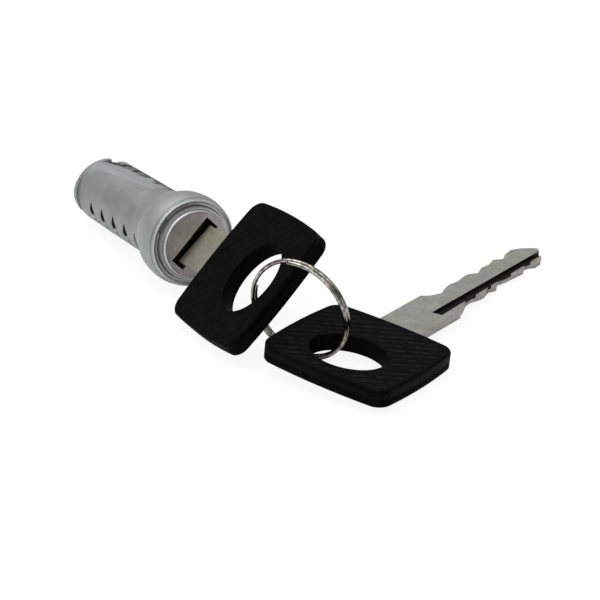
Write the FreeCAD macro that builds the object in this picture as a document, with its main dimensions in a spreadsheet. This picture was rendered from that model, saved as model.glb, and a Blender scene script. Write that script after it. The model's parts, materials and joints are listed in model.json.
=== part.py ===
# Ignition lock: die-cast barrel with its key in it, and a spare key on a split ring.
# Millimetres, +Z up. The set lies on a bench: the barrel on its collar and its back end,
# the lower edge of the key head beside it, and the spare key half on the ring.
import math
import os

import FreeCAD
import Part
import Sketcher
from FreeCAD import Placement, Rotation, Vector

doc = FreeCAD.newDocument("IgnitionLock")
sheet = doc.addObject("Spreadsheet::Sheet", "Sizes")

X_AXIS = Vector(1, 0, 0)
Y_AXIS = Vector(0, 1, 0)
Z_AXIS = Vector(0, 0, 1)

# Driving dimensions
DIMENSIONS = {
    # Barrel: lengths run back from the face of the plug
    "barrel_radius": 8.78,
    "barrel_back": 51.2,
    "bore_radius": 7.95,
    "rim_radius": 8.7,
    "rim_start": 36.0,
    "flare_start": 18.5,
    "flare_middle": 13.5,
    "flare_middle_rise": 0.75,
    "flare_end": 9.0,
    "collar_shoulder": 0.3,
    "collar_radius": 11.6,
    "collar_crown": 6.0,
    "collar_front": 4.2,
    "flare_blend": 8.0,
    "nose_radius": 11.1,
    "nose_back": 1.9,
    "nose_face": 1.5,
    "nose_chamfer": 0.3,
    "flange_seat_depth": 5.4,
    "flat_front": 22.0,
    "flat_rear_depth": 1.05,
    "flat_angle": 79.0,
    "lip_inner": 7.2,
    "lip_back": 52.4,
    "lip_root": 50.9,
    # Snap ring that holds the plug in the collar
    "snap_inner": 9.5,
    "snap_outer": 10.75,
    "snap_thickness": 0.9,
    "snap_front": 2.05,
    "snap_cover": 0.15,
    "snap_gap_angle": 23.0,
    "snap_gap_centre": 143.0,
    # Plug
    "flange_radius": 10.0,
    "neck_radius": 9.25,
    "plug_back": 50.6,
    "tail_radius": 5.0,
    "tail_length": 6.0,
    "tail_neck_radius": 4.6,
    "tail_neck_length": 2.0,
    "tail_journal_length": 2.4,
    "tail_flat": 3.6,
    "face_radius": 8.58,
    "face_thickness": 0.9,
    "mouth_width": 13.5,
    "mouth_height": 4.15,
    "mouth_offset": 0.35,
    "mouth_depth": 4.6,
    # Wafers, five to each side of the plug
    "wafer_count": 5,
    "wafer_pitch": 6.7,
    "wafer_first": 15.9,
    "wafer_stagger": 3.35,
    "wafer_thickness": 0.9,
    "wafer_half_width": 2.4,
    "wafer_tip": 7.8,
    "wafer_tip_round": 0.35,
    "wafer_foot": 6.3,
    "wafer_window_half": 4.6,
    "ear_reach": 1.8,
    "ear_top": 5.2,
    "ear_height": 1.0,
    "slot_camber": 6.3,
    "slot_plain": 4.65,
    "slot_window_width": 2.0,
    "pocket_reach": 2.8,
    "pocket_side": 0.5,
    "pocket_floor": 0.5,
    "spring_wire": 0.24,
    "spring_radius": 0.4,
    "spring_turns": 3.0,
    # Key, from the straight line of its head's blade side towards the tip
    "head_length": 30.03,
    "head_width": 34.0,
    "head_bow": 0.9,
    "head_corner": 3.0,
    "head_thickness": 4.36,
    "head_edge": 0.6,
    "eye_half_width": 9.28,
    "eye_half_length": 7.55,
    "eye_centre": 18.93,
    "tang_shoulder": 2.0,
    "tang_length": 8.0,
    "tang_half_width": 4.4,
    "blade_thickness": 2.0,
    "shank_half_width": 5.75,
    "shank_length": 19.6,
    "blade_half_width": 4.3,
    "blade_length": 65.1,
    "groove_inner": 1.2,
    "groove_outer": 4.95,
    "groove_depth": 0.95,
    "groove_start": 13.7,
    "groove_slant": 0.8,
    "key_exposed": 11.76,
    # Split ring
    "ring_radius": 12.2,
    "ring_wire": 0.5,
    "ring_rise": 0.515,
    "ring_joggle_angle": 33.0,
    # Clearances
    "running_clearance": 0.05,
    "sliding_clearance": 0.15,
    "fitted_gap": 0.05,
    # Lie of the set on the bench
    "key_angle": 42.34,
    "ring_centre_x": 46.12,
    "ring_centre_y": 2.515,
    "ring_centre_z": 12.687,
    "ring_azimuth": -61.59,
    "ring_elevation": -7.63,
    "ring_spin": 161.0,
    "spare_x": 51.02,
    "spare_y": 24.88,
    "spare_z": 3.55,
    "spare_yaw": 113.618,
    "spare_pitch": 2.13,
    "spare_roll": 4.552,
}

# Outer edge of the lip at the back of the barrel: angle and radius
LIP_EDGE = (
    (79, 8.35), (92, 8.35), (106, 8.42), (119, 8.52), (131, 8.66), (144, 8.85), (158, 9.12),
    (171, 9.35), (184, 9.3), (197, 9.02), (207, 8.85),
)

# Outline of the cut edges of the key blade: share of the blade's length, and how far the
# edge lies in from the full width of the blade
UPPER_EDGE = (
    (0.302, -1.0), (0.325, 0.2), (0.372, 1.3), (0.43, 0.3), (0.464, 0.1), (0.508, 0.5),
    (0.563, 0.0), (0.592, 0.15), (0.627, 1.5), (0.675, 0.45), (0.725, 0.75), (0.774, 0.0),
    (0.811, 1.5), (0.854, 0.4), (0.909, 0.0), (0.948, 1.2),
)
LOWER_EDGE = (
    (0.31, -0.9), (0.345, -0.3), (0.392, 1.0), (0.436, 1.3), (0.473, 0.6), (0.511, 0.4),
    (0.56, 1.2), (0.597, 0.4), (0.639, 1.8), (0.685, 1.3), (0.753, 1.0), (0.808, 0.8),
    (0.832, 1.75), (0.863, 1.5), (0.889, 0.5), (0.935, 0.6),
)

for row, (alias, value) in enumerate(DIMENSIONS.items(), start=1):
    sheet.set("A%d" % row, alias.replace("_", " "))
    sheet.set("B%d" % row, str(value))
    sheet.setAlias("B%d" % row, alias)
doc.recompute()


def size(alias):
    """Value of one driving dimension."""
    return float(sheet.get(alias))


def origin_plane(body, role):
    """One of the three origin planes of a body."""
    for feature in body.Origin.OriginFeatures:
        if feature.Role == role:
            return feature
    raise ValueError(role)


def new_body(label):
    """Empty body whose label names its node."""
    body = doc.addObject("PartDesign::Body", label)
    body.Label = label
    return body


def new_sketch(body, name, role):
    """Sketch on an origin plane of its own body."""
    sketch = body.newObject("Sketcher::SketchObject", name)
    sketch.AttachmentSupport = [(origin_plane(body, role), "")]
    sketch.MapMode = "FlatFace"
    return sketch


def pin_point(sketch, line, end, across, up, rough=(1.0, 1.0)):
    """Hold one end of a sketch line or arc by two expressions."""
    for kind, expression, value in (("DistanceX", across, rough[0]), ("DistanceY", up, rough[1])):
        index = sketch.addConstraint(Sketcher.Constraint(kind, -1, 1, line, end, value))
        sketch.setExpression("Constraints[%d]" % index, expression)


def add_loop(sketch, corners):
    """Closed polygon whose corners are pairs of expressions."""
    first = sketch.GeometryCount
    count = len(corners)
    guess = []
    for step in range(count):
        turn = 2 * math.pi * step / count
        guess.append(Vector(20 * math.cos(turn), 20 * math.sin(turn), 0))
    for step in range(count):
        sketch.addGeometry(Part.LineSegment(guess[step], guess[(step + 1) % count]), False)
    for step in range(count):
        following = first + (step + 1) % count
        sketch.addConstraint(Sketcher.Constraint("Coincident", first + step, 2, following, 1))
    for step, (across, up) in enumerate(corners):
        pin_point(sketch, first + step, 1, across, up)


def add_box_loop(sketch, left, right, bottom, top):
    """Closed rectangle between four expressions."""
    add_loop(sketch, [(left, bottom), (right, bottom), (right, top), (left, top)])


def turned(body, name, corners):
    """Solid turned about the X axis from a half profile of X and radius."""
    sketch = new_sketch(body, name + "_profile", "XY_Plane")
    add_loop(sketch, corners)
    feature = body.newObject("PartDesign::Revolution", name)
    feature.Profile = sketch
    feature.ReferenceAxis = (sketch, ["H_Axis"])
    feature.Angle = 360
    doc.recompute()
    return feature


def padded(body, name, sketch, length):
    """Pad to both sides of a sketch."""
    feature = body.newObject("PartDesign::Pad", name)
    feature.Profile = sketch
    feature.Midplane = True
    feature.setExpression("Length", length)
    doc.recompute()
    return feature


def pocketed(body, name, sketch, depth=None, both_ways=False, expect_loss=True):
    """Pocket in whichever direction removes material, or through everything both ways."""
    before = body.Shape.Volume
    feature = body.newObject("PartDesign::Pocket", name)
    feature.Profile = sketch
    if depth is None:
        feature.Type = 1
    else:
        feature.setExpression("Length", depth)
    feature.Midplane = both_ways
    doc.recompute()
    if expect_loss and body.Shape.Volume > before - 1e-6:
        feature.Reversed = True
        doc.recompute()
    return feature


# Where the pieces of the lock stand. Every one of them is drawn with the plug's axis along
# X, the centre of its face at the origin and the width of the key along Y.
rest_length = size("barrel_back") - size("collar_crown")
bench_tilt = math.degrees(math.asin((size("collar_radius") - size("rim_radius")) / rest_length))
lean = math.radians(bench_tilt)
axis_height = size("collar_radius") * math.cos(lean) + size("collar_crown") * math.sin(lean)
lock_place = Placement(Vector(0, 0, axis_height), Rotation(Y_AXIS, -bench_tilt)) * Placement(
    Vector(0, 0, 0), Rotation(X_AXIS, size("key_angle")))

pieces = []


def keep(piece, place, label=None):
    """Place one finished sub-part and list it for export."""
    if label:
        piece.Label = label
    piece.Placement = place
    pieces.append(piece)


def wafer_middle(side, number):
    """Distance of a wafer behind the plug face, as an expression."""
    stagger = "0" if side < 0 else "Sizes.wafer_stagger"
    return "(Sizes.wafer_first + %d * Sizes.wafer_pitch + %s)" % (number, stagger)


def row_sketch(body, name, role, side, half_gap, low, high, offset=None):
    """One rectangle for each wafer of a side, as wide as the wafer and its gap."""
    sketch = new_sketch(body, name, role)
    if offset:
        sketch.setExpression("AttachmentOffset.Base.z", offset)
    half = "(Sizes.wafer_thickness / 2 + %s)" % half_gap
    for number in range(int(size("wafer_count"))):
        middle = wafer_middle(side, number)
        add_box_loop(sketch, "-%s - %s" % (middle, half), "-%s + %s" % (middle, half), low, high)
    return sketch


def slot_loop(sketch, middle, sign):
    """Slot for one wafer, as wide as the wafer at its foot and wider over the spring."""
    plain = "(Sizes.wafer_thickness / 2 + Sizes.sliding_clearance)"
    wide = "(Sizes.slot_window_width / 2)"
    heights = ("-Sizes.slot_plain", "Sizes.wafer_half_width", "(Sizes.wafer_half_width + Sizes.slot_camber) / 2",
               "Sizes.slot_camber")
    widths = (plain, plain, wide, "(0.4 * %s)" % plain)
    corners = []
    for across, up in zip(widths, heights):
        corners.append(("-%s + %s" % (middle, across), "%d * (%s)" % (sign, up)))
    for across, up in reversed(list(zip(widths, heights))):
        corners.append(("-%s - %s" % (middle, across), "%d * (%s)" % (sign, up)))
    add_loop(sketch, corners)


def row_cut(body, name, sketch, toward_plus_y):
    """Cut a row through everything on one side of its sketch, which faces minus Y."""
    cut = body.newObject("PartDesign::Pocket", name)
    cut.Profile = sketch
    cut.Type = 1
    cut.Reversed = not toward_plus_y
    doc.recompute()


# Housing: one zinc casting with the barrel, the flared collar and the lip at its back
housing = new_body("lock_housing")
seat_radius = "Sizes.flange_radius + Sizes.running_clearance"
cover_radius = "Sizes.snap_outer - Sizes.snap_cover"
snap_seat_radius = "Sizes.snap_outer + Sizes.fitted_gap"
snap_back = "-(Sizes.snap_front + Sizes.snap_thickness + Sizes.fitted_gap)"
casting = turned(housing, "casting", [
    ("-Sizes.barrel_back", "Sizes.bore_radius"),
    ("-Sizes.barrel_back", "Sizes.rim_radius"),
    ("-Sizes.rim_start", "Sizes.barrel_radius"),
    ("-Sizes.flare_start", "Sizes.barrel_radius"),
    ("-Sizes.flare_middle", "Sizes.barrel_radius + Sizes.flare_middle_rise"),
    ("-Sizes.flare_end", "Sizes.collar_radius - Sizes.collar_shoulder"),
    ("-Sizes.collar_crown", "Sizes.collar_radius"),
    ("-Sizes.collar_front", "Sizes.collar_radius - 0.2 * Sizes.collar_shoulder"),
    ("-Sizes.nose_back", "Sizes.nose_radius"),
    ("-Sizes.nose_face", "Sizes.nose_radius - Sizes.nose_chamfer"),
    ("-Sizes.nose_face", cover_radius),
    ("-Sizes.snap_front + Sizes.fitted_gap", cover_radius),
    ("-Sizes.snap_front + Sizes.fitted_gap", snap_seat_radius),
    (snap_back, snap_seat_radius),
    (snap_back, seat_radius),
    ("-Sizes.flange_seat_depth", seat_radius),
    ("-Sizes.flange_seat_depth", "Sizes.bore_radius"),
])
corners_of_flare = [size(alias) for alias in (
    "flare_start", "flare_middle", "flare_end", "collar_crown", "collar_front")]
flare_edges = []
for index, edge in enumerate(casting.Shape.Edges, start=1):
    box = edge.BoundBox
    for corner in corners_of_flare:
        if box.XLength < 0.01 and abs(box.Center.x + corner) < 0.01 and box.YMax > size("barrel_radius") - 0.01:
            flare_edges.append("Edge%d" % index)
blend = housing.newObject("PartDesign::Fillet", "flare_blend")
blend.Base = (casting, flare_edges)
blend.setExpression(
    "Radius", "min(Sizes.flare_blend; 1.8 * (Sizes.flare_middle - Sizes.flare_end))")
doc.recompute()
for side, word in ((-1, "near"), (1, "far")):
    slots = new_sketch(housing, word + "_slots", "XZ_Plane")
    for number in range(int(size("wafer_count"))):
        slot_loop(slots, wafer_middle(side, number), -side)
    row_cut(housing, word + "_slot_cuts", slots, side > 0)

# The long shallow flat on top of the barrel, deepest at its back end
flat_sketch = new_sketch(housing, "flat_outline", "XY_Plane")
flat_sketch.AttachmentOffset = Placement(Vector(0, 0, 0), Rotation(X_AXIS, 10))
flat_sketch.setExpression("AttachmentOffset.Rotation.Angle", "Sizes.flat_angle - Sizes.key_angle")
flat_top = "(1.5 * Sizes.barrel_radius)"
add_loop(flat_sketch, [
    ("-Sizes.flat_front", "Sizes.barrel_radius"),
    ("-Sizes.flat_front", flat_top),
    ("-Sizes.barrel_back - 1", flat_top),
    ("-Sizes.barrel_back - 1", "Sizes.barrel_radius - Sizes.flat_rear_depth"),
])
pocketed(housing, "flat", flat_sketch, "3 * Sizes.barrel_radius", both_ways=True)

# The lip: a raised band that stands out behind part of the back end
lip_sketch = new_sketch(housing, "lip_outline", "YZ_Plane")
lip_sketch.setExpression("AttachmentOffset.Base.z", "-Sizes.lip_back")
lip_corners = []
for angle, reach in LIP_EDGE:
    turn = "(%s - Sizes.key_angle)" % angle
    lip_corners.append(("%s * cos(%s)" % (reach, turn), "%s * sin(%s)" % (reach, turn)))
for angle, reach in reversed(LIP_EDGE):
    turn = "(%s - Sizes.key_angle)" % angle
    lip_corners.append(("Sizes.lip_inner * cos(%s)" % turn, "Sizes.lip_inner * sin(%s)" % turn))
add_loop(lip_sketch, lip_corners)
lip = housing.newObject("PartDesign::Pad", "lip")
lip.Profile = lip_sketch
lip.setExpression("Length", "Sizes.lip_back - Sizes.lip_root")
doc.recompute()
keep(housing, lock_place)

# Snap ring: flat spring steel, open at one side
snap_ring = new_body("snap_ring")
turned(snap_ring, "washer", [
    ("-(Sizes.snap_front + Sizes.snap_thickness)", "Sizes.snap_inner"),
    ("-(Sizes.snap_front + Sizes.snap_thickness)", "Sizes.snap_outer"),
    ("-Sizes.snap_front", "Sizes.snap_outer"),
    ("-Sizes.snap_front", "Sizes.snap_inner"),
])
gap_sketch = new_sketch(snap_ring, "gap_outline", "YZ_Plane")
gap_turn = "(Sizes.snap_gap_centre - Sizes.key_angle)"
gap_far = "(Sizes.snap_outer * 1.3)"
gap_corners = [("0", "0")]
for sign in ("-", "+"):
    edge_angle = "(%s %s Sizes.snap_gap_angle / 2)" % (gap_turn, sign)
    gap_corners.append(("%s * cos(%s)" % (gap_far, edge_angle), "%s * sin(%s)" % (gap_far, edge_angle)))
add_loop(gap_sketch, gap_corners)
pocketed(snap_ring, "gap", gap_sketch)
keep(snap_ring, lock_place)

# Plug: the zinc core that turns in the barrel, with the keyway, the wafer slots and the
# pockets for their springs
plug = new_body("plug")
flange_back = "-Sizes.flange_seat_depth + Sizes.running_clearance"
flange_front = "-(Sizes.snap_front + Sizes.snap_thickness + 2 * Sizes.running_clearance)"
plug_radius = "Sizes.bore_radius - Sizes.running_clearance"
journal_front = "-(Sizes.plug_back + Sizes.tail_neck_length)"
journal_back = "-(Sizes.plug_back + Sizes.tail_neck_length + Sizes.tail_journal_length)"
turned(plug, "core", [
    ("-Sizes.plug_back - Sizes.tail_length", "0"),
    ("-Sizes.plug_back - Sizes.tail_length", "Sizes.tail_neck_radius"),
    (journal_back, "Sizes.tail_neck_radius"),
    (journal_back, "Sizes.tail_radius"),
    (journal_front, "Sizes.tail_radius"),
    (journal_front, "Sizes.tail_neck_radius"),
    ("-Sizes.plug_back", "Sizes.tail_neck_radius"),
    ("-Sizes.plug_back", plug_radius),
    (flange_back, plug_radius),
    (flange_back, "Sizes.flange_radius"),
    (flange_front, "Sizes.flange_radius"),
    (flange_front, "Sizes.neck_radius"),
    ("-Sizes.face_thickness", "Sizes.neck_radius"),
    ("-Sizes.face_thickness", "0"),
])
key_gap = "Sizes.sliding_clearance"
half_way = "(Sizes.blade_thickness / 2 + %s)" % key_gap
tip_depth = "(Sizes.blade_length - Sizes.key_exposed)"
for name, half_width, depth in (
        ("shank_way", "(Sizes.shank_half_width + %s)" % key_gap,
         "0.352 * Sizes.blade_length - Sizes.key_exposed"),
        ("blade_way", "(Sizes.blade_half_width + 2 * %s)" % key_gap, "%s - 3.5" % tip_depth),
        ("tip_way", "(0.9 * Sizes.blade_half_width)", "%s + 0.6" % tip_depth)):
    way = new_sketch(plug, name + "_outline", "YZ_Plane")
    add_box_loop(way, "-" + half_width, half_width, "-" + half_way, half_way)
    pocketed(plug, name, way, depth)
mouth = new_sketch(plug, "mouth_outline", "YZ_Plane")
mouth_low = "(Sizes.mouth_offset - Sizes.mouth_height / 2)"
mouth_high = "(Sizes.mouth_offset + Sizes.mouth_height / 2)"
add_box_loop(mouth, "-Sizes.mouth_width / 2", "Sizes.mouth_width / 2", mouth_low, mouth_high)
pocketed(plug, "mouth", mouth, "Sizes.mouth_depth")
slot_half = "(Sizes.wafer_half_width + %s)" % key_gap
slot_gap = "Sizes.sliding_clearance / 2"
slot_open = "1.2 * Sizes.bore_radius"
slot_shut = "(Sizes.wafer_foot + %s)" % key_gap
for side, word in ((-1, "near"), (1, "far")):
    low, high = ("-" + slot_open, slot_shut) if side < 0 else ("-" + slot_shut, slot_open)
    row = row_sketch(plug, word + "_wafer_row", "XY_Plane", side, slot_gap, low, high)
    pocketed(plug, word + "_wafer_slots", row, "2 * " + slot_half, both_ways=True)
    inner, outer = "Sizes.wafer_half_width", "Sizes.wafer_half_width + Sizes.pocket_reach"
    if side < 0:
        row = row_sketch(plug, "near_spring_row", "XZ_Plane", side, "Sizes.pocket_side", inner, outer,
                         "Sizes.pocket_floor")
    else:
        row = row_sketch(plug, "far_spring_row", "XZ_Plane", side, "Sizes.pocket_side", "-(%s)" % outer,
                         "-" + inner, "-Sizes.pocket_floor")
    row_cut(plug, word + "_spring_pockets", row, side > 0)
flats = new_sketch(plug, "tail_flats_outline", "YZ_Plane")
flats.setExpression("AttachmentOffset.Base.z", journal_back)
for low, high in (("Sizes.tail_flat", "2 * Sizes.tail_radius"), ("-2 * Sizes.tail_radius", "-Sizes.tail_flat")):
    add_box_loop(flats, "-2 * Sizes.tail_radius", "2 * Sizes.tail_radius", low, high)
pocketed(plug, "tail_flats", flats)
keep(plug, lock_place)

# Face plate: pressed steel cap on the front of the plug, with the mouth of the keyway
face_plate = new_body("face_plate")
turned(face_plate, "cap", [
    ("-Sizes.face_thickness", "0"),
    ("-Sizes.face_thickness", "Sizes.face_radius"),
    ("-0.35 * Sizes.face_thickness", "Sizes.face_radius"),
    ("0", "Sizes.face_radius - 0.35 * Sizes.face_thickness"),
    ("0", "0"),
])
opening = new_sketch(face_plate, "opening_outline", "YZ_Plane")
add_box_loop(opening, "-Sizes.mouth_width / 2", "Sizes.mouth_width / 2", mouth_low, mouth_high)
pocketed(face_plate, "opening", opening)
keep(face_plate, lock_place)

# Wafers: thin brass plates that slide across the plug, each with a window for the key and
# an ear for its spring
wafer_number = 0
for side in (-1, 1):
    for number in range(int(size("wafer_count"))):
        wafer_number += 1
        wafer = new_body("wafer_%d" % wafer_number)
        plate = new_sketch(wafer, "plate_%d" % wafer_number, "YZ_Plane")
        add_loop(plate, [
            ("-Sizes.wafer_tip", "-0.4 * Sizes.wafer_half_width"),
            ("-Sizes.wafer_tip + Sizes.wafer_tip_round", "-Sizes.wafer_half_width"),
            ("Sizes.wafer_foot", "-Sizes.wafer_half_width"),
            ("Sizes.wafer_foot", "Sizes.wafer_half_width"),
            ("-Sizes.ear_top + Sizes.ear_height", "Sizes.wafer_half_width"),
            ("-Sizes.ear_top + Sizes.ear_height", "Sizes.wafer_half_width + Sizes.ear_reach"),
            ("-Sizes.ear_top", "Sizes.wafer_half_width + Sizes.ear_reach"),
            ("-Sizes.ear_top", "Sizes.wafer_half_width"),
            ("-Sizes.wafer_tip + Sizes.wafer_tip_round", "Sizes.wafer_half_width"),
            ("-Sizes.wafer_tip", "0.4 * Sizes.wafer_half_width"),
        ])
        window_side = "(%s + %s)" % (half_way, key_gap)
        add_box_loop(plate, "-Sizes.wafer_window_half", "Sizes.wafer_window_half",
                     "-" + window_side, window_side)
        padded(wafer, "stamping_%d" % wafer_number, plate, "Sizes.wafer_thickness")
        stagger = size("wafer_stagger") if side > 0 else 0.0
        middle = size("wafer_first") + number * size("wafer_pitch") + stagger
        turn = 180 if side > 0 else 0
        wafer_place = lock_place * Placement(Vector(-middle, 0, 0), Rotation(X_AXIS, turn))
        keep(wafer, wafer_place)

        # Its spring: a small coil between the ear and the floor of the pocket
        coil_low = -size("ear_top") + size("ear_height") + size("fitted_gap")
        coil_length = -size("pocket_floor") - size("fitted_gap") - coil_low - size("spring_wire")
        corners = []
        for step in range(int(6 * size("spring_turns")) + 1):
            turn = math.radians(60 * step)
            rise = coil_length * step / (6 * size("spring_turns"))
            corners.append(Vector(
                size("spring_radius") * math.cos(turn), size("spring_radius") * math.sin(turn), rise))
        coil = Part.makePolygon(corners)
        half_wire = size("spring_wire") / 2
        section = []
        for across, up in ((-1, -1), (1, -1), (1, 1), (-1, 1), (-1, -1)):
            section.append(corners[0] + Vector(across * half_wire, 0, up * half_wire))
        sweep = coil.makePipeShell([Part.makePolygon(section)], True, True, 1)
        spring = doc.addObject("Part::Feature", "spring_%d" % wafer_number)
        spring.Shape = sweep
        stand = Placement(Vector(0, coil_low + half_wire, size("wafer_half_width") + size("ear_reach") / 2),
                          Rotation(X_AXIS, -90))
        keep(spring, wafer_place * stand, "wafer_spring_%d" % wafer_number)


def edge_point(row, sign):
    """Corner of the cut edge of the blade."""
    share, depth = row
    across = "Sizes.blade_half_width - %s" % depth
    return ("%s * Sizes.blade_length" % share, across if sign > 0 else "-(%s)" % across)


def key_blade(label):
    """Milled steel blade: tang in the head, plain shank, cut edges, and a wide groove each
    side that leaves opposite halves of the thickness along the two edges."""
    body = new_body(label)
    outline = new_sketch(body, label + "_outline", "XY_Plane")
    corners = [
        ("-Sizes.tang_length", "-Sizes.tang_half_width"),
        ("-Sizes.tang_shoulder", "-Sizes.tang_half_width"),
        ("-Sizes.tang_shoulder", "-Sizes.shank_half_width"),
        ("Sizes.shank_length", "-Sizes.shank_half_width"),
    ]
    corners += [edge_point(row, -1) for row in LOWER_EDGE]
    corners += [
        ("0.992 * Sizes.blade_length", "-0.18 * Sizes.blade_half_width"),
        ("Sizes.blade_length", "0"),
        ("0.992 * Sizes.blade_length", "0.18 * Sizes.blade_half_width"),
    ]
    corners += [edge_point(row, 1) for row in reversed(UPPER_EDGE)]
    corners += [
        ("Sizes.shank_length", "Sizes.shank_half_width"),
        ("-Sizes.tang_shoulder", "Sizes.shank_half_width"),
        ("-Sizes.tang_shoulder", "Sizes.tang_half_width"),
        ("-Sizes.tang_length", "Sizes.tang_half_width"),
    ]
    add_loop(outline, corners)
    padded(body, label + "_plate", outline, "Sizes.blade_thickness")
    for sign, word in ((1, "upper"), (-1, "lower")):
        groove = new_sketch(body, "%s_%s_groove" % (label, word), "XY_Plane")
        floor = "(Sizes.blade_thickness / 2 - Sizes.groove_depth)"
        groove.setExpression("AttachmentOffset.Base.z", floor if sign > 0 else "-" + floor)
        add_loop(groove, [
            ("Sizes.groove_start", "%d * Sizes.groove_inner" % -sign),
            ("Sizes.groove_start + Sizes.groove_slant", "%d * Sizes.groove_outer" % -sign),
            ("1.1 * Sizes.blade_length", "%d * Sizes.groove_outer" % -sign),
            ("1.1 * Sizes.blade_length", "%d * Sizes.groove_inner" % -sign),
        ])
        cut = body.newObject("PartDesign::Pocket", "%s_%s_groove_cut" % (label, word))
        cut.Profile = groove
        cut.Type = 1
        cut.Reversed = sign > 0
        doc.recompute()
    return body


def bowed_outline(body, name):
    """Rounded square whose four sides bulge a little."""
    sketch = new_sketch(body, name, "XY_Plane")
    near, far = "-Sizes.head_bow / 2", "-Sizes.head_length + Sizes.head_bow / 2"
    side = "(Sizes.head_width / 2 - Sizes.head_bow / 2)"
    corners = [(near, "-" + side), (near, side), (far, side), (far, "-" + side)]
    bow = size("head_bow")
    half_x = (size("head_length") - bow) / 2
    half_y = (size("head_width") - bow) / 2
    middle_x = -size("head_length") / 2
    rough = [(middle_x + half_x, -half_y), (middle_x + half_x, half_y),
             (middle_x - half_x, half_y), (middle_x - half_x, -half_y)]
    for step in range(4):
        start, end = rough[step], rough[(step + 1) % 4]
        mid_x = (start[0] + end[0]) / 2
        mid_y = (start[1] + end[1]) / 2
        reach = math.hypot(mid_x - middle_x, mid_y)
        bulge = (mid_x + (mid_x - middle_x) / reach * bow, mid_y + mid_y / reach * bow)
        arc = Part.Arc(Vector(start[0], start[1], 0), Vector(bulge[0], bulge[1], 0), Vector(end[0], end[1], 0))
        sketch.addGeometry(arc, False)
    for step in range(4):
        sketch.addConstraint(Sketcher.Constraint("Coincident", step, 2, (step + 1) % 4, 1))
    for step, (across, up) in enumerate(corners):
        pin_point(sketch, step, 1, across, up, rough[step])
    for step in range(4):
        chord = "Sizes.head_width" if step % 2 == 0 else "Sizes.head_length"
        half = "((%s - Sizes.head_bow) / 2)" % chord
        index = sketch.addConstraint(Sketcher.Constraint("Radius", step, sketch.Geometry[step].Radius))
        radius = "(%s * %s + Sizes.head_bow * Sizes.head_bow) / (2 * Sizes.head_bow)" % (half, half)
        sketch.setExpression("Constraints[%d]" % index, radius)
    return sketch


def key_head(label):
    """Moulded plastic head with an oval eye, moulded round the tang."""
    body = new_body(label)
    outline = bowed_outline(body, label + "_outline")
    block = padded(body, label + "_block", outline, "Sizes.head_thickness")
    upright = []
    for index, edge in enumerate(block.Shape.Edges, start=1):
        box = edge.BoundBox
        if box.ZLength > 0.9 * size("head_thickness"):
            upright.append("Edge%d" % index)
    corner = body.newObject("PartDesign::Fillet", label + "_corners")
    corner.Base = (block, upright)
    corner.setExpression("Radius", "Sizes.head_corner")
    doc.recompute()
    rims = []
    for index, edge in enumerate(corner.Shape.Edges, start=1):
        box = edge.BoundBox
        if box.ZLength < 0.01:
            rims.append("Edge%d" % index)
    edges = body.newObject("PartDesign::Fillet", label + "_edges")
    edges.Base = (corner, rims)
    edges.setExpression("Radius", "Sizes.head_edge")
    doc.recompute()
    tang = new_sketch(body, label + "_tang_room", "XY_Plane")
    gap = "Sizes.fitted_gap"
    add_loop(tang, [
        ("-Sizes.tang_length - %s" % gap, "-Sizes.tang_half_width - %s" % gap),
        ("-Sizes.tang_shoulder - %s" % gap, "-Sizes.tang_half_width - %s" % gap),
        ("-Sizes.tang_shoulder - %s" % gap, "-Sizes.shank_half_width - %s" % gap),
        ("Sizes.head_corner", "-Sizes.shank_half_width - %s" % gap),
        ("Sizes.head_corner", "Sizes.shank_half_width + %s" % gap),
        ("-Sizes.tang_shoulder - %s" % gap, "Sizes.shank_half_width + %s" % gap),
        ("-Sizes.tang_shoulder - %s" % gap, "Sizes.tang_half_width + %s" % gap),
        ("-Sizes.tang_length - %s" % gap, "Sizes.tang_half_width + %s" % gap),
    ])
    pocketed(body, label + "_tang_room_cut", tang, "Sizes.blade_thickness + 2 * %s" % gap, both_ways=True)

    eye = new_sketch(body, label + "_eye_outline", "XY_Plane")
    middle = -size("eye_centre")
    high = size("eye_half_width")
    wide = size("eye_half_length")
    oval = eye.addGeometry(
        Part.Ellipse(Vector(middle, high, 0), Vector(middle - wide, 0, 0), Vector(middle, 0, 0)), False)
    eye.exposeInternalGeometry(oval)
    pin_point(eye, oval, 3, "-Sizes.eye_centre", "0", (middle, 0.0))
    long_end = eye.Geometry[oval + 1].StartPoint
    sign = "" if long_end.y > 0 else "-"
    pin_point(eye, oval + 1, 1, "-Sizes.eye_centre", sign + "Sizes.eye_half_width", (middle, long_end.y))
    short_end = eye.Geometry[oval + 2].StartPoint
    sign = "+" if short_end.x > middle else "-"
    index = eye.addConstraint(Sketcher.Constraint("DistanceX", -1, 1, oval + 2, 1, short_end.x))
    eye.setExpression("Constraints[%d]" % index, "-Sizes.eye_centre %s Sizes.eye_half_length" % sign)
    pocketed(body, label + "_eye", eye, "2 * Sizes.head_thickness", both_ways=True)
    return body


# Key in the lock: pushed home, its head across the width of the plug
key_place = lock_place * Placement(Vector(size("key_exposed"), 0, 0), Rotation(Z_AXIS, 180))
keep(key_blade("ignition_key_blade"), key_place)
keep(key_head("ignition_head_body"), key_place, "ignition_key_head")

# Spare key: the same key lying on the bench, one corner of its head lifted by the ring
spare_place = Placement(
    Vector(size("spare_x"), size("spare_y"), size("spare_z")),
    Rotation(size("spare_yaw"), size("spare_pitch"), size("spare_roll")))
keep(key_blade("spare_key_blade"), spare_place)
keep(key_head("spare_head_body"), spare_place, "spare_key_head")

# Split ring: one wire wound twice, the two turns side by side and joined by a short joggle
radius = size("ring_radius")
rise = size("ring_rise")
joggle = size("ring_joggle_angle")


def ring_point(angle, height):
    """Point on the middle line of the wire."""
    turn = math.radians(angle)
    return Vector(radius * math.cos(turn), radius * math.sin(turn), height)


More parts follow.
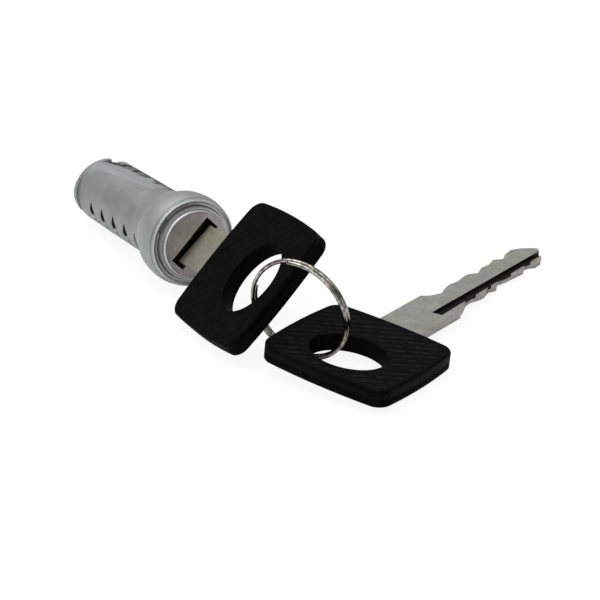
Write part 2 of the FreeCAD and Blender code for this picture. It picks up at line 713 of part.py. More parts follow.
crossing = []
for step in range(9):
    share = step / 8
    ease = share * share * (3 - 2 * share)
    crossing.append(ring_point(-joggle + 2 * joggle * share, -rise + 2 * rise * ease))
cross_curve = Part.BSplineCurve()
start_turn = math.radians(-joggle)
end_turn = math.radians(joggle)
cross_curve.interpolate(
    crossing,
    InitialTangent=Vector(-math.sin(start_turn), math.cos(start_turn), 0),
    FinalTangent=Vector(-math.sin(end_turn), math.cos(end_turn), 0))

def wire_along(edge, point, direction):
    """Round wire swept along one edge."""
    section = Part.Wire(Part.Circle(point, direction, size("ring_wire")).toShape())
    return Part.Wire(edge.toShape()).makePipeShell([section], True, False)


def turn_at(height):
    """One turn of the coil, open where the joggle crosses."""
    turn = Part.makeTorus(radius, size("ring_wire"), Vector(0, 0, height), Z_AXIS, 0, 360, 360 - 2 * joggle)
    turn.rotate(Vector(0, 0, 0), Z_AXIS, joggle)
    return turn


crossing_wire = wire_along(
    cross_curve, ring_point(-joggle, -rise), Vector(-math.sin(start_turn), math.cos(start_turn), 0))
ring = doc.addObject("Part::Feature", "split_ring")
ring.Shape = turn_at(-rise).fuse([crossing_wire, turn_at(rise)]).removeSplitter()
azimuth = math.radians(size("ring_azimuth"))
elevation = math.radians(size("ring_elevation"))
ring_axis = Vector(
    math.cos(azimuth) * math.cos(elevation), math.sin(azimuth) * math.cos(elevation), math.sin(elevation))
ring_centre = Vector(size("ring_centre_x"), size("ring_centre_y"), size("ring_centre_z"))
ring_place = Placement(ring_centre, Rotation(Z_AXIS, ring_axis)) * Placement(
    Vector(0, 0, 0), Rotation(Z_AXIS, size("ring_spin")))
keep(ring, ring_place, "split_ring")
doc.recompute()


def bounds_of(shapes):
    """Bounding box around several shapes."""
    total = FreeCAD.BoundBox()
    for shape in shapes:
        total.add(shape.optimalBoundingBox(False, False))
    return total


# The spare key is let down until it touches the bench, then the whole set is moved so that
# the frame's origin is at the middle of its footprint
spare = [piece for piece in pieces if piece.Label.startswith("spare_key")]
drop = bounds_of([piece.Shape for piece in spare]).ZMin
for piece in spare:
    piece.Placement = Placement(Vector(0, 0, -drop), Rotation()) * piece.Placement
doc.recompute()
whole = bounds_of([piece.Shape for piece in pieces])
shift = Vector(-(whole.XMin + whole.XMax) / 2, -(whole.YMin + whole.YMax) / 2, -whole.ZMin)
for piece in pieces:
    piece.Placement = Placement(shift, Rotation()) * piece.Placement
doc.recompute()

# Check and export
for item in doc.Objects:
    if "Invalid" in item.State or "Error" in item.State:
        raise RuntimeError("not recomputed: " + item.Label)
os.makedirs("parts", exist_ok=True)
for piece in pieces:
    shape = piece.Shape
    if shape.isNull() or not shape.isValid() or len(shape.Solids) != 1:
        raise RuntimeError("bad shape: " + piece.Label)
    shape.exportStep("parts/%s.step" % piece.Label)
    print(piece.Label, round(shape.Volume, 2))
print("shift", shift, "drop", round(drop, 3), "tilt", round(bench_tilt, 3), "axis height", round(axis_height, 3))
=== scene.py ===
# Ignition lock with its key in it, and a spare key on the same split ring.
import json
from math import cos, pi, radians, sin

import bmesh
import bpy
from mathutils import Matrix, Vector


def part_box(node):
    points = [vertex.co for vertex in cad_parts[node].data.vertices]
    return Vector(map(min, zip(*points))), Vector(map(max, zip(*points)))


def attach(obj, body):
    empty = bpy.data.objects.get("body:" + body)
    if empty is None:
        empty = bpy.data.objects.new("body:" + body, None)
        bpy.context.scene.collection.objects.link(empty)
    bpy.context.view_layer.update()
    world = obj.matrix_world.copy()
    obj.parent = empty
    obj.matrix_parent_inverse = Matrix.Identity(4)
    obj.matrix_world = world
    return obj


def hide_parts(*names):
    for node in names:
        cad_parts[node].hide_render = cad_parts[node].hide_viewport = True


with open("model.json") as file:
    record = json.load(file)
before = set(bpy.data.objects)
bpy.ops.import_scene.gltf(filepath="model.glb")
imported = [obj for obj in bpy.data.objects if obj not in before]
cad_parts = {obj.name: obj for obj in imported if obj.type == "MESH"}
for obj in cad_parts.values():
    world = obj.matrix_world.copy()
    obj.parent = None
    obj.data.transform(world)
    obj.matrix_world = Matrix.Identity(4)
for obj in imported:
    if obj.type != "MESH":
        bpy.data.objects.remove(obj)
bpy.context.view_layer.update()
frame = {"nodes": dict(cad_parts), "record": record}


# Barrel of the lock: one zinc die casting with a flared collar in front, wafer slots along
# both sides and a raised lip round part of its back end. It is left as cast, so its skin is
# a soft grey with darker flow marks and a fine grain.
MM = 0.001
MM_IN_METRE = 1000.0
MERGE_DISTANCE = 0.002 * MM
ONE_PLANE = radians(0.4)
SMOOTH_TURN = radians(18)


def middle_of(node):
    """Middle of a CAD node's box."""
    low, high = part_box(node)
    return (Vector(low) + Vector(high)) / 2


def lock_frame():
    """Middle of the plug's face and the three axes of the lock, read from its joints."""
    joints = {joint["name"]: joint for joint in frame["record"]["behaviour"]["joints"]}
    forward = Vector(joints["key_pull"]["axis"]).normalized()
    width = Vector(joints["ring_swing"]["axis"]).normalized()
    return middle_of("face_plate"), forward, width, forward.cross(width).normalized()


lock_face, lock_forward, lock_width, lock_height = lock_frame()


def merged_copy(node, name, flatten=True):
    """Mesh of a CAD solid with its corners merged, and each flat made one face if asked."""
    mesh = frame["nodes"][node].data.copy()
    mesh.name = name
    mesh.materials.clear()
    bm = bmesh.new()
    bm.from_mesh(mesh)
    bmesh.ops.remove_doubles(bm, verts=bm.verts, dist=MERGE_DISTANCE)
    if flatten:
        bmesh.ops.dissolve_limit(bm, angle_limit=ONE_PLANE, verts=bm.verts, edges=bm.edges)
    bm.to_mesh(mesh)
    bm.free()
    mesh.shade_smooth()
    return mesh


def new_object(name, data):
    """Object for a mesh, a lamp or a camera, put in the scene."""
    holder = bpy.data.objects.new(name, data)
    bpy.context.collection.objects.link(holder)
    return holder


def from_solid(node, name, edge, segments=2, sharp=28.0):
    """Piece copied from a CAD solid, with each edge sharper than an angle rounded a little."""
    mesh = merged_copy(node, name)
    mesh.set_sharp_from_angle(angle=SMOOTH_TURN)
    piece = new_object(name, mesh)
    rounding = piece.modifiers.new("rounded edges", "BEVEL")
    rounding.width = edge
    rounding.segments = segments
    rounding.limit_method = "ANGLE"
    rounding.angle_limit = radians(sharp)
    rounding.use_clamp_overlap = True
    leveling = piece.modifiers.new("even shading", "WEIGHTED_NORMAL")
    leveling.keep_sharp = True
    return piece


def add_node(material, kind, **settings):
    """Shader node with its inputs and properties set by name, with _ for a space."""
    node = material.node_tree.nodes.new(kind)
    for name, setting in settings.items():
        label = name.replace("_", " ")
        if label in node.inputs:
            node.inputs[label].default_value = setting
        else:
            setattr(node, name, setting)
    return node


def new_finish(name, **settings):
    """Material with a Principled shader, whose inputs are set by name, with _ for a space."""
    material = bpy.data.materials.new(name)
    material.use_nodes = True
    shader = material.node_tree.nodes["Principled BSDF"]
    for label, setting in settings.items():
        shader.inputs[label.replace("_", " ")].default_value = setting
    return material, shader


def join(material, value, node, socket):
    """Link a value, which is a node and the name of its output, to an input of a node."""
    material.node_tree.links.new(value[0].outputs[value[1]], node.inputs[socket])


def object_place(material):
    """Place in the piece's own mesh, in metres."""
    return add_node(material, "ShaderNodeTexCoord"), "Object"


def lock_place(material):
    """Place in millimetres from the middle of the plug's face: ahead, across and up."""
    turn = Matrix((lock_forward, lock_width, lock_height))
    mapping = add_node(material, "ShaderNodeMapping", Rotation=turn.to_euler(),
                       Location=-(turn @ lock_face))
    join(material, object_place(material), mapping, "Vector")
    grown = add_node(material, "ShaderNodeVectorMath", operation="SCALE", Scale=MM_IN_METRE)
    join(material, (mapping, "Vector"), grown, "Vector")
    split = add_node(material, "ShaderNodeSeparateXYZ")
    join(material, (grown, "Vector"), split, "Vector")
    return (split, "X"), (split, "Y"), (split, "Z")


def maths(material, operation, *terms):
    """Math node on numbers and values."""
    node = add_node(material, "ShaderNodeMath", operation=operation)
    for index, term in enumerate(terms):
        if isinstance(term, tuple):
            join(material, term, node, index)
        else:
            node.inputs[index].default_value = term
    return node, "Value"


def radius_of(material, across, up):
    """Distance from the lock's axis in millimetres."""
    squares = maths(material, "ADD", maths(material, "MULTIPLY", across, across),
                    maths(material, "MULTIPLY", up, up))
    return maths(material, "SQRT", squares)


def turn_of(material, across, up):
    """Angle round the lock's axis in radians, 0 on the side that across points to."""
    return maths(material, "ARCTAN2", up, across)


def fade(material, value, start, end):
    """Smooth step of a value from 0 at start to 1 at end."""
    node = add_node(material, "ShaderNodeMapRange", interpolation_type="SMOOTHSTEP",
                    From_Min=start, From_Max=end)
    join(material, value, node, "Value")
    return node, "Result"


def above(material, value, limit, soft):
    """1 above a limit and 0 below it, with a soft step between."""
    return fade(material, value, limit - soft, limit + soft)


def below(material, value, limit, soft):
    """1 below a limit and 0 above it, with a soft step between."""
    return fade(material, value, limit + soft, limit - soft)


def all_of(material, *shares):
    """Product of several shares."""
    product = shares[0]
    for share in shares[1:]:
        product = maths(material, "MULTIPLY", product, share)
    return product


def between(material, value, start, end, soft):
    """1 between two limits and 0 outside them, with soft steps."""
    return all_of(material, above(material, value, start, soft), below(material, value, end, soft))


def tinted(material, base, *bands):
    """Base colour with bands laid over it one by one, each given as its share and its colour."""
    for share, color in bands:
        mix = add_node(material, "ShaderNodeMix", data_type="RGBA")
        join(material, share, mix, 0)
        join(material, base, mix, 6)
        mix.inputs[7].default_value = (*color, 1.0)
        base = (mix, 2)
    return base


def cloud(material, place, scale, detail=4.0, roughness=0.6, stretch=None):
    """Cloudy noise from 0 to 1 at a place, drawn out along the axes where stretch says so."""
    if stretch:
        mapping = add_node(material, "ShaderNodeMapping", Scale=stretch)
        join(material, place, mapping, "Vector")
        place = (mapping, "Vector")
    noise = add_node(material, "ShaderNodeTexNoise", Scale=scale, Detail=detail,
                     Roughness=roughness)
    join(material, place, noise, "Vector")
    return noise, "Fac"


def ramp(material, value, low, high, start=0.3, end=0.7):
    """Colour that goes from low at start to high at end."""
    band = add_node(material, "ShaderNodeValToRGB")
    for stop, position, color in zip(band.color_ramp.elements, (start, end), (low, high)):
        stop.position = position
        stop.color = (*color, 1.0)
    join(material, value, band, "Fac")
    return band, "Color"


def bump(material, shader, height, strength, distance, after=None):
    """Bump from a height, on top of another where one is given."""
    node = add_node(material, "ShaderNodeBump", Strength=strength, Distance=distance)
    join(material, height, node, "Height")
    if after:
        join(material, after, node, "Normal")
    join(material, (node, "Normal"), shader, "Normal")
    return node, "Normal"


def zinc_finish(name, dark, light, roughness):
    """Bare zinc casting: cloudy grey, slightly uneven gloss, a fine pitted grain."""
    material, shader = new_finish(name, Metallic=0.75, Roughness=roughness)
    place = object_place(material)
    flow = cloud(material, place, scale=190.0, detail=5.0, roughness=0.65)
    tone = ramp(material, flow, dark, light, 0.32, 0.68)
    gloss = add_node(material, "ShaderNodeMapRange", To_Min=roughness - 0.1,
                     To_Max=roughness + 0.12)
    join(material, cloud(material, place, scale=420.0, detail=3.0), gloss, "Value")
    join(material, (gloss, "Result"), shader, "Roughness")
    ripple = bump(material, shader, cloud(material, place, scale=260.0, detail=2.0),
                  strength=0.35, distance=0.12 * MM)
    bump(material, shader, cloud(material, place, scale=2600.0), strength=0.25,
         distance=0.04 * MM, after=ripple)
    return material, shader, tone


# Places on the casting: millimetres as lock_place gives them, turns in radians
FLARE_BACK = -20.0
FLARE_FRONT = -9.0
BARREL_FRONT = -20.6
BARREL_BACK = -51.05
TOP_TURN = -2.46
TOP_TWIST = 0.014
NOSE_INSIDE = 10.6
NOSE_OUTSIDE = 10.9
NOSE_STEP = -2.0


def nose_and_barrel(material, base):
    """Painted light on the flare and the top of the barrel, a painted highlight on the edge of the
    nose and a painted shade line at its step.
    """
    ahead, across, up = lock_place(material)
    radius = radius_of(material, across, up)
    # Painted light: the flare and the top of the barrel are painted lighter than the rest.
    flare_light = maths(material, "MULTIPLY", fade(material, ahead, FLARE_BACK, FLARE_FRONT), 0.6)
    turn = maths(material, "MULTIPLY_ADD", ahead, TOP_TWIST, turn_of(material, across, up))
    top = all_of(material, below(material, turn, TOP_TURN, soft=0.03),
                 below(material, ahead, BARREL_FRONT, soft=0.4),
                 above(material, ahead, BARREL_BACK, soft=0.25))
    # Painted highlight on the nose's edge, and a painted shade line at its step.
    nose_highlight = all_of(material, between(material, radius, NOSE_INSIDE, NOSE_OUTSIDE, soft=0.05),
                       above(material, ahead, NOSE_STEP - 0.1, soft=0.1))
    at_step = between(material, ahead, NOSE_STEP - 0.15, NOSE_STEP + 0.15, soft=0.05)
    nose_shade_line = all_of(material, at_step, above(material, radius, NOSE_OUTSIDE + 0.05, soft=0.05))
    return tinted(material, base, (flare_light, (0.31, 0.335, 0.323)), (top, (0.305, 0.315, 0.318)),
                  (nose_highlight, (0.54, 0.56, 0.545)), (nose_shade_line, (0.13, 0.137, 0.137)))


NEAR_HALF_TURN = 1.10
SLOTS_FRONT = -13.0
SLOTS_BACK = -45.25
SLOT_WALL_RADIUS = 8.66
WALL_LEVEL = -2.15
FIRST_SLOT = -15.9
SLOT_PITCH = 6.7
TEARDROP_FRONT = -19.25
TEARDROP_WIDTH = 1.2
TEARDROP_POINT = -6.3
TEARDROP_FULL = -4.2
TEARDROP_TOP = -3.35
TIP_GLINT_BACK = -0.6
TIP_GLINT_FRONT = 1.0
TIP_GLINT_LOW = -3.1
TIP_GLINT_HIGH = -2.2


def near_slots(material, base):
    """Painted shade on the lower walls of the near row of slots and painted light on their upper
    walls, and beside each slot a dark teardrop of painted shade and a painted highlight for its
    bright tip.
    """
    ahead, across, up = lock_place(material)
    radius = radius_of(material, across, up)
    turn = maths(material, "ABSOLUTE", turn_of(material, across, up))
    near = all_of(material, below(material, turn, NEAR_HALF_TURN, soft=0.05),
                  above(material, ahead, SLOTS_BACK, soft=0.25))
    # Painted shade on the lower slot walls and painted light on the upper ones.
    walls = all_of(material, near, below(material, ahead, SLOTS_FRONT, soft=0.5),
                   below(material, radius, SLOT_WALL_RADIUS, soft=0.04))
    shaded_walls = all_of(material, walls, below(material, up, WALL_LEVEL, soft=0.25))
    lit_walls = all_of(material, walls, above(material, up, WALL_LEVEL, soft=0.25))
    # A dark teardrop of painted shade beside each slot, and a painted highlight for a bright tip
    # next to it.
    by_slots = all_of(material, near, below(material, ahead, TEARDROP_FRONT, soft=0.25))
    repeated = maths(material, "WRAP", ahead, FIRST_SLOT + SLOT_PITCH / 2,
                     FIRST_SLOT - SLOT_PITCH / 2)
    from_slot = maths(material, "SUBTRACT", repeated, FIRST_SLOT)
    share_of_width = all_of(material, fade(material, up, TEARDROP_POINT, TEARDROP_FULL),
                            below(material, up, TEARDROP_TOP, soft=0.35))
    to_edge = maths(material, "SUBTRACT", maths(material, "MULTIPLY", share_of_width, TEARDROP_WIDTH),
                    maths(material, "ABSOLUTE", from_slot))
    teardrop_shade = all_of(material, by_slots, fade(material, to_edge, 0.0, 0.12))
    tip_highlight = all_of(material, by_slots, between(material, from_slot, TIP_GLINT_BACK, TIP_GLINT_FRONT, soft=0.12),
                  between(material, up, TIP_GLINT_LOW, TIP_GLINT_HIGH, soft=0.15))
    return tinted(material, base, (shaded_walls, (0.012, 0.012, 0.012)),
                  (lit_walls, (0.60, 0.62, 0.60)), (teardrop_shade, (0.018, 0.018, 0.017)),
                  (tip_highlight, (0.62, 0.63, 0.61)))


DIRT_TURN = 3.03
DIRT_FRONT = -20.5
DIRT_BACK = -48.5


def far_dirt(material, base):
    """Brown dirt with a ragged edge along the far row of slots."""
    ahead, across, up = lock_place(material)
    turn = maths(material, "ABSOLUTE", turn_of(material, across, up))
    place = object_place(material)
    spots = cloud(material, place, scale=900.0, detail=5.0, roughness=0.75)
    patches = cloud(material, place, scale=230.0, detail=3.0)
    ragged = maths(material, "MULTIPLY_ADD", patches, 0.9, turn)
    dirt = all_of(material, above(material, ragged, DIRT_TURN, soft=0.13),
                  below(material, ahead, DIRT_FRONT, soft=3.5),
                  above(material, ahead, DIRT_BACK, soft=2.5),
                  above(material, spots, 0.45, soft=0.09))
    return tinted(material, base, (dirt, (0.06, 0.052, 0.032)))


casting_finish, casting_shader, casting_tone = zinc_finish(
    "zinc_casting", dark=(0.215, 0.235, 0.23), light=(0.285, 0.305, 0.297), roughness=0.56)
for add_tones in (nose_and_barrel, near_slots, far_dirt):
    casting_tone = add_tones(casting_finish, casting_tone)
join(casting_finish, casting_tone, casting_shader, "Base Color")
flat_finish, flat_shader, flat_tone = zinc_finish(
    "zinc_flat", dark=(0.325, 0.335, 0.315), light=(0.365, 0.375, 0.385), roughness=0.5)
join(flat_finish, far_dirt(flat_finish, flat_tone), flat_shader, "Base Color")

# The flat facet on top of the barrel is known by its direction and its area
FLAT_TURN = radians(79.0)
FLAT_TAPER = radians(2.06)
FLAT_LIKENESS = 0.9965
FLAT_AREA = 4 * MM * MM
flat_normal = Vector((-sin(FLAT_TAPER), cos(FLAT_TURN) * cos(FLAT_TAPER),
                      sin(FLAT_TURN) * cos(FLAT_TAPER)))
housing = from_solid("lock_housing", "lock_housing_casting", edge=0.16 * MM)
housing.data.set_sharp_from_angle(angle=radians(10))
housing.data.materials.append(casting_finish)
housing.data.materials.append(flat_finish)
for polygon in housing.data.polygons:
    if polygon.normal.dot(flat_normal) > FLAT_LIKENESS and polygon.area > FLAT_AREA:
        polygon.material_index = 1
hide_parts("lock_housing")
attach(housing, "housing")


# Plug: the zinc core that turns in the barrel. Only its rim, its tail and what shows through
# the wafer slots are seen, so it is a copy of its solid with rounded edges, in grey. Inside
# it is painted near black as shade, and a ring at its rim is a painted highlight. Its
# bearing surface is drawn in, so that it turns clear of the facets of the bore.
BEARING_LEAST = 7.8 * MM
BEARING_MOST = 8.0 * MM
RUNNING_GAP = 0.12 * MM
INNER_SHADE_RADIUS = 8.1
INNER_SHADE_BACK = -50.75
RIM_RADIUS = 9.0
core_finish, core_shader, core_tone = zinc_finish(
    "plug_zinc", dark=(0.30, 0.31, 0.31), light=(0.44, 0.45, 0.45), roughness=0.42)
ahead, across, up = lock_place(core_finish)
core_radius = radius_of(core_finish, across, up)
# Painted shade: the inside of the plug is painted near black.
inner_shade = all_of(core_finish, below(core_finish, core_radius, INNER_SHADE_RADIUS, soft=0.3),
              above(core_finish, ahead, INNER_SHADE_BACK, soft=0.75))
rim = above(core_finish, core_radius, RIM_RADIUS + 0.075, soft=0.075)
# Painted highlight: a light ring at the rim.
core_rim_highlight = between(core_finish, core_radius, RIM_RADIUS - 0.08, RIM_RADIUS + 0.08, soft=0.04)
core_tone = tinted(core_finish, core_tone, (inner_shade, (0.012, 0.011, 0.01)),
                   (rim, (0.34, 0.345, 0.34)), (core_rim_highlight, (0.66, 0.67, 0.66)))
join(core_finish, core_tone, core_shader, "Base Color")
core = from_solid("plug", "plug_core", edge=0.12 * MM)
for vertex in core.data.vertices:
    away = vertex.co - lock_face
    away -= lock_forward * away.dot(lock_forward)
    if BEARING_LEAST < away.length < BEARING_MOST:
        vertex.co -= away.normalized() * RUNNING_GAP
core.data.materials.append(core_finish)
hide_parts("plug")
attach(core, "plug")


# Face plate: a pressed steel cap staked on the front of the plug, with the wide mouth of the
# keyway. Years of keys have scratched it to a dull warm grey. Its bright rim is a painted
# highlight, and a thin dark ring inside the rim is painted shade.
PLATE_LINE = 8.14
PLATE_RIM = 8.37
PLATE_WORN = 4.0
plate_finish, plate_shader = new_finish("face_steel", Metallic=0.85, Roughness=0.42)
plate_place = object_place(plate_finish)
_, across, up = lock_place(plate_finish)
plate_radius = radius_of(plate_finish, across, up)
plate_tone = ramp(plate_finish, cloud(plate_finish, plate_place, scale=320.0, detail=5.0),
                  (0.31, 0.303, 0.302), (0.43, 0.418, 0.418), 0.3, 0.75)
# Painted highlight on the rim and a painted shade line inside it.
plate_rim_highlight = above(plate_finish, plate_radius, PLATE_RIM, soft=0.05)
plate_shade_line = between(plate_finish, plate_radius, PLATE_LINE - 0.06, PLATE_LINE + 0.06, soft=0.04)
scratches = cloud(plate_finish, plate_place, scale=900.0, detail=6.0, roughness=0.75,
                  stretch=(1.0, 3.0, 0.6))
by_mouth = all_of(plate_finish, above(plate_finish, scratches, 0.58, soft=0.08), below(
    plate_finish, maths(plate_finish, "ABSOLUTE", up), PLATE_WORN, soft=2.0))
plate_tone = tinted(plate_finish, plate_tone, (plate_rim_highlight, (0.47, 0.462, 0.46)),
                    (plate_shade_line, (0.20, 0.195, 0.19)), (by_mouth, (0.58, 0.56, 0.55)))
join(plate_finish, plate_tone, plate_shader, "Base Color")
scuffs = cloud(plate_finish, plate_place, scale=1500.0, detail=6.0, roughness=0.7,
               stretch=(1.0, 0.35, 2.6))
bump(plate_finish, plate_shader, scuffs, strength=0.3, distance=0.05 * MM)
face_plate = from_solid("face_plate", "face_plate_cap", edge=0.14 * MM, segments=3)
face_plate.data.materials.append(plate_finish)
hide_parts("face_plate")
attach(face_plate, "plug")


# Snap ring: an open ring of flat spring steel that sits in a groove in the collar and keeps
# the flange of the plug in. Its inner and outer edges are painted highlights, and the outer
# part of the face between them is painted darker as shade.
SNAP_INNER_EDGE = 9.68
SNAP_SHADE_START = 9.95
SNAP_OUTER_EDGE = 10.36
snap_finish, snap_shader = new_finish("spring_steel", Metallic=0.9, Roughness=0.36)
_, across, up = lock_place(snap_finish)
snap_radius = radius_of(snap_finish, across, up)
snap_tone = ramp(snap_finish, cloud(snap_finish, object_place(snap_finish), scale=700.0),
                 (0.40, 0.41, 0.40), (0.58, 0.59, 0.58))
# Painted shade on the outer part of the face, and painted highlights on both edges.
snap_face_shade = above(snap_finish, snap_radius, SNAP_SHADE_START, soft=0.15)
inner_highlight = below(snap_finish, snap_radius, SNAP_INNER_EDGE, soft=0.04)
outer_highlight = above(snap_finish, snap_radius, SNAP_OUTER_EDGE, soft=0.04)
snap_tone = tinted(snap_finish, snap_tone, (snap_face_shade, (0.30, 0.305, 0.30)),
                   (inner_highlight, (0.70, 0.71, 0.70)), (outer_highlight, (0.62, 0.63, 0.62)))
join(snap_finish, snap_tone, snap_shader, "Base Color")
snap_ring = from_solid("snap_ring", "snap_ring_spring", edge=0.1 * MM)
snap_ring.data.materials.append(snap_finish)
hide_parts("snap_ring")
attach(snap_ring, "housing")


# Wafers and their springs: thin brass plates across the plug, each pushed by a small coil of
# steel wire. The brass is dull, with grease on it, and brighter where it has been rubbed.
WAFERS = 10
brass_finish, brass_shader = new_finish("wafer_brass", Metallic=1.0, Roughness=0.35)
brass_tone = ramp(brass_finish, cloud(brass_finish, object_place(brass_finish), scale=900.0),
                  (0.66, 0.64, 0.56), (0.90, 0.88, 0.82))
join(brass_finish, brass_tone, brass_shader, "Base Color")
coil_finish, coil_shader = new_finish("coil_steel", Metallic=1.0, Roughness=0.3)
coil_tone = ramp(coil_finish, cloud(coil_finish, object_place(coil_finish), scale=2500.0),
                 (0.35, 0.35, 0.35), (0.6, 0.6, 0.6))
join(coil_finish, coil_tone, coil_shader, "Base Color")
for number in range(1, WAFERS + 1):
    wafer = from_solid("wafer_%d" % number, "wafer_plate_%d" % number, edge=0.06 * MM, sharp=32.0)
    wafer.data.materials.append(brass_finish)
    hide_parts("wafer_%d" % number)
    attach(wafer, "plug")
    solid_coil = frame["nodes"]["wafer_spring_%d" % number]
    solid_coil.data.materials.clear()
    solid_coil.data.materials.append(coil_finish)


# Key blades: milled steel with a thin satin nickel plating, a plain shank, two cut edges and
# a wide milled groove on each side. The grooves have a near-black floor, and the cut edges
# are duller than the faces. A band of painted shade lies on the first key's shank where it
# enters the keyway.
GROOVE_START = 14.0 * MM
GROOVE_END = 64.0 * MM
GROOVE_EDGE = 3.65 * MM
GROOVE_DEPTH = 0.95 * MM
GROOVE_TAPER = 0.015
FLOOR_HEIGHT = 0.5 * MM
WEB_HALF_WIDTH = 1.4 * MM
MOUTH_SHADE_FRONT = 0.94
MOUTH_SHADE_BACK = -1.05
MOUTH_SHADE_SLANT = 0.10
HEAD_LENGTH = 30.03 * MM
SPARE_YAW = radians(113.618)
SPARE_PITCH = radians(2.13)
SPARE_ROLL = radians(4.552)
key_turn = Matrix((-lock_forward, -lock_width, lock_height)).transposed()
spare_turn = (Matrix.Rotation(SPARE_YAW, 3, "Z") @ Matrix.Rotation(SPARE_PITCH, 3, "Y")
              @ Matrix.Rotation(SPARE_ROLL, 3, "X"))


def blade_finish(name, dark, light):
    """Satin plated steel with worn patches and a fine grain."""
    material, shader = new_finish(name, Metallic=0.9, Roughness=0.38)
    place = object_place(material)
    tone = ramp(material, cloud(material, place, scale=350.0, detail=6.0, roughness=0.7),
                dark, light)
    join(material, tone, shader, "Base Color")
    bump(material, shader, cloud(material, place, scale=2200.0), strength=0.2,
         distance=0.03 * MM)
    return material, shader, tone


def mouth_shade(material, base):
    """Painted shade on the shank at the mouth of the keyway, near black, with a slanting edge."""
    ahead, across, _ = lock_place(material)
    slanting = maths(material, "MULTIPLY_ADD", across, MOUTH_SHADE_SLANT, ahead)
    # Painted shade where the shank enters the mouth.
    mouth_shade_share = all_of(material, below(material, slanting, MOUTH_SHADE_FRONT, soft=0.06),
                    above(material, ahead, MOUTH_SHADE_BACK, soft=0.75))
    return tinted(material, base, (mouth_shade_share, (0.01, 0.01, 0.009)))


def close_up(bm):
    """Close a blade whose lands are raised: faces that they double or bury inside it go."""
    bmesh.ops.remove_doubles(bm, verts=bm.verts, dist=0.004 * MM)
    seen = {}
    for face in bm.faces:
        seen.setdefault(frozenset(face.verts), []).append(face)
    doubled = [face for group in seen.values() if len(group) > 1 for face in group]
    bmesh.ops.delete(bm, geom=doubled, context="FACES")
    buried = [face for face in bm.faces if any(len(edge.link_faces) == 1 for edge in face.edges)]
    bmesh.ops.delete(bm, geom=buried, context="FACES")
    bmesh.ops.recalc_face_normals(bm, faces=bm.faces)


def groove_and_land(mesh, origin, axes):
    """Fill the outer part of each rebate, so that a groove is left that narrows towards the tip.
    The groove takes the second material and the cut edges the third."""
    forward, across, up = [Vector(axis) for axis in axes]
    lines = []
    for side in (-1, 1):
        start = origin + forward * GROOVE_START + across * side * GROOVE_EDGE
        lines.append((start, (across * side + forward * GROOVE_TAPER).normalized()))

    def past_line(face):
        return max((face.calc_center_median() - start).dot(outward) for start, outward in lines)

    def on_floor(face):
        height = abs((face.calc_center_median() - origin).dot(up))
        return abs(face.normal.dot(up)) > 0.9 and height < FLOOR_HEIGHT

    bm = bmesh.new()
    bm.from_mesh(mesh)
    for start, outward in lines:
        bmesh.ops.bisect_plane(bm, geom=bm.verts[:] + bm.edges[:] + bm.faces[:],
                               plane_co=start, plane_no=outward, dist=0.001 * MM)
    for way in (-1, 1):
        land = [face for face in bm.faces
                if on_floor(face) and face.normal.dot(up) * way > 0 and past_line(face) > 0]
        raised = bmesh.ops.extrude_face_region(bm, geom=land)
        lifted = [item for item in raised["geom"] if isinstance(item, bmesh.types.BMVert)]
        bmesh.ops.translate(bm, verts=lifted, vec=up * way * GROOVE_DEPTH)
        bmesh.ops.delete(bm, geom=[face for face in land if face.is_valid], context="FACES")
    close_up(bm)
    for face in bm.faces:
        place = face.calc_center_median() - origin
        upright = abs(face.normal.dot(up)) < 0.3
        land_wall = abs(past_line(face)) < 0.03 * MM and abs(face.normal.dot(across)) > 0.99
        web_wall = abs(place.dot(across)) < WEB_HALF_WIDTH
        in_groove = GROOVE_START - MM < place.dot(forward) < GROOVE_END
        if on_floor(face) or (upright and in_groove and (land_wall or web_wall)):
            face.material_index = 1
        elif upright:
            face.material_index = 2
    bm.to_mesh(mesh)
    bm.free()


# The floor and walls of each groove are near black.
groove_black, groove_black_shader = new_finish("groove_black_floor", Roughness=0.6, Specular_IOR_Level=0.1)
groove_black_tone = ramp(groove_black, cloud(groove_black, object_place(groove_black), scale=900.0, detail=5.0),
                  (0.002, 0.002, 0.0018), (0.012, 0.010, 0.008), 0.35, 0.8)
join(groove_black, groove_black_tone, groove_black_shader, "Base Color")
lock_blade_finish, lock_blade_shader, lock_blade_tone = blade_finish(
    "key_steel", dark=(0.30, 0.29, 0.23), light=(0.44, 0.43, 0.35))
lock_blade_tone = mouth_shade(lock_blade_finish, lock_blade_tone)
join(lock_blade_finish, lock_blade_tone, lock_blade_shader, "Base Color")
spare_blade_finish = blade_finish("key_steel_clean", dark=(0.31, 0.31, 0.28),
                                  light=(0.46, 0.46, 0.42))[0]
cut_finish = blade_finish("key_cut_edges", dark=(0.16, 0.155, 0.145), light=(0.36, 0.35, 0.33))[0]
for node, body, finish, turn in (("ignition_key_blade", "key", lock_blade_finish, key_turn),
                                 ("spare_key_blade", "spare", spare_blade_finish, spare_turn)):
    blade = from_solid(node, node + "_milled", edge=0.12 * MM, sharp=30.0)
    for material in (finish, groove_black, cut_finish):
        blade.data.materials.append(material)
    axes = turn.transposed()
    shoulder = middle_of(node.replace("blade", "head")) + axes[0] * HEAD_LENGTH / 2
    groove_and_land(blade.data, shoulder, axes)
    blade.data.set_sharp_from_angle(angle=radians(6))
    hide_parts(node)
    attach(blade, body)


